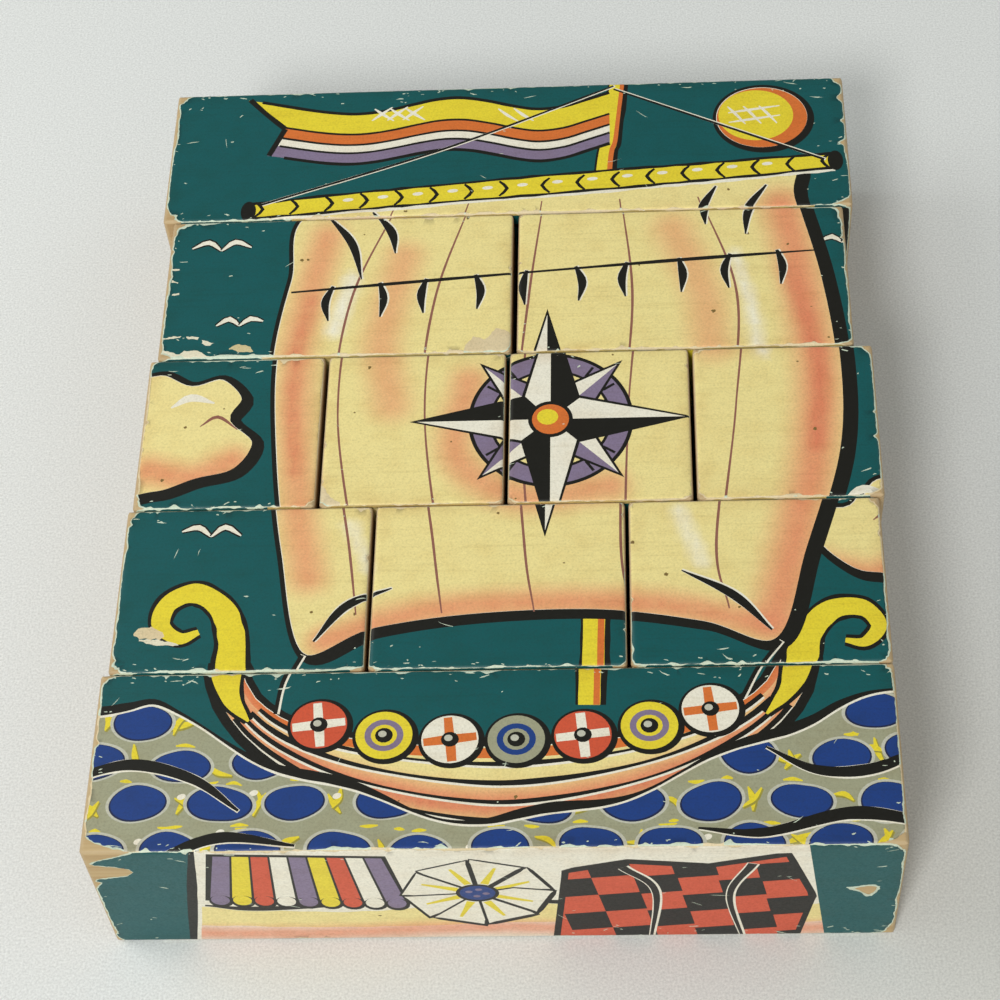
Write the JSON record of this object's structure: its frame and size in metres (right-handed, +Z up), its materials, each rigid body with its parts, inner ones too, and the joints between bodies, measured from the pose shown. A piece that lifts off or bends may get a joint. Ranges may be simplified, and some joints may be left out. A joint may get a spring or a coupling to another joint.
{
  "type": "wooden block picture puzzle",
  "caption": "Changeable picture puzzle of square wooden blocks laid out in rows, each block turned to show one of its printed long faces.",
  "frame": {"origin": "on the table, under the centre of the laid-out picture (bottom centre of the bounding box)", "axes": "+X along the rows to the picture's right, +Y to the picture's top, +Z up from the table"},
  "size_m": [0.1534, 0.1916, 0.0381],
  "materials": {
    "teal_printed_wood": "satin",
    "cream_printed_wood": "satin",
    "dotted_printed_wood": "satin"
  },
  "bodies": {
    "third_middle": {"third_block_middle": "cream_printed_wood"},
    "back_row": {"back_long_block": "teal_printed_wood"},
    "half_left": {"half_block_left": "cream_printed_wood"},
    "half_right": {"half_block_right": "cream_printed_wood"},
    "quarter_far_left": {"quarter_block_far_left": "teal_printed_wood"},
    "quarter_left": {"quarter_block_left": "cream_printed_wood"},
    "quarter_right": {"quarter_block_right": "cream_printed_wood"},
    "quarter_far_right": {"quarter_block_far_right": "teal_printed_wood"},
    "third_left": {"third_block_left": "teal_printed_wood"},
    "third_right": {"third_block_right": "teal_printed_wood"},
    "front_row": {"front_long_block": "dotted_printed_wood"}
  },
  "joints": [
    {"name": "half_left_lift", "type": "slide", "parent": "third_middle", "child": "half_left", "axis": [0, 0, 1], "range_m": [0, 0.05]},
    {"name": "half_right_lift", "type": "slide", "parent": "third_middle", "child": "half_right", "axis": [0, 0, 1], "range_m": [0, 0.05]},
    {"name": "quarter_far_left_lift", "type": "slide", "parent": "third_middle", "child": "quarter_far_left", "axis": [0, 0, 1], "range_m": [0, 0.05]},
    {"name": "quarter_left_lift", "type": "slide", "parent": "third_middle", "child": "quarter_left", "axis": [0, 0, 1], "range_m": [0, 0.05]},
    {"name": "quarter_right_lift", "type": "slide", "parent": "third_middle", "child": "quarter_right", "axis": [0, 0, 1], "range_m": [0, 0.05]},
    {"name": "quarter_far_right_lift", "type": "slide", "parent": "third_middle", "child": "quarter_far_right", "axis": [0, 0, 1], "range_m": [0, 0.05]},
    {"name": "third_left_lift", "type": "slide", "parent": "third_middle", "child": "third_left", "axis": [0, 0, 1], "range_m": [0, 0.05]},
    {"name": "third_right_lift", "type": "slide", "parent": "third_middle", "child": "third_right", "axis": [0, 0, 1], "range_m": [0, 0.05]},
    {"name": "back_row_tip", "type": "hinge", "parent": "third_middle", "child": "back_row", "pos_m": [0, 0.09515, 0.0007], "axis": [-1, 0, 0], "range_deg": [0, 90]},
    {"name": "front_row_tip", "type": "hinge", "parent": "third_middle", "child": "front_row", "pos_m": [0, -0.09515, 0.0007], "axis": [1, 0, 0], "range_deg": [0, 90]}
  ]
}
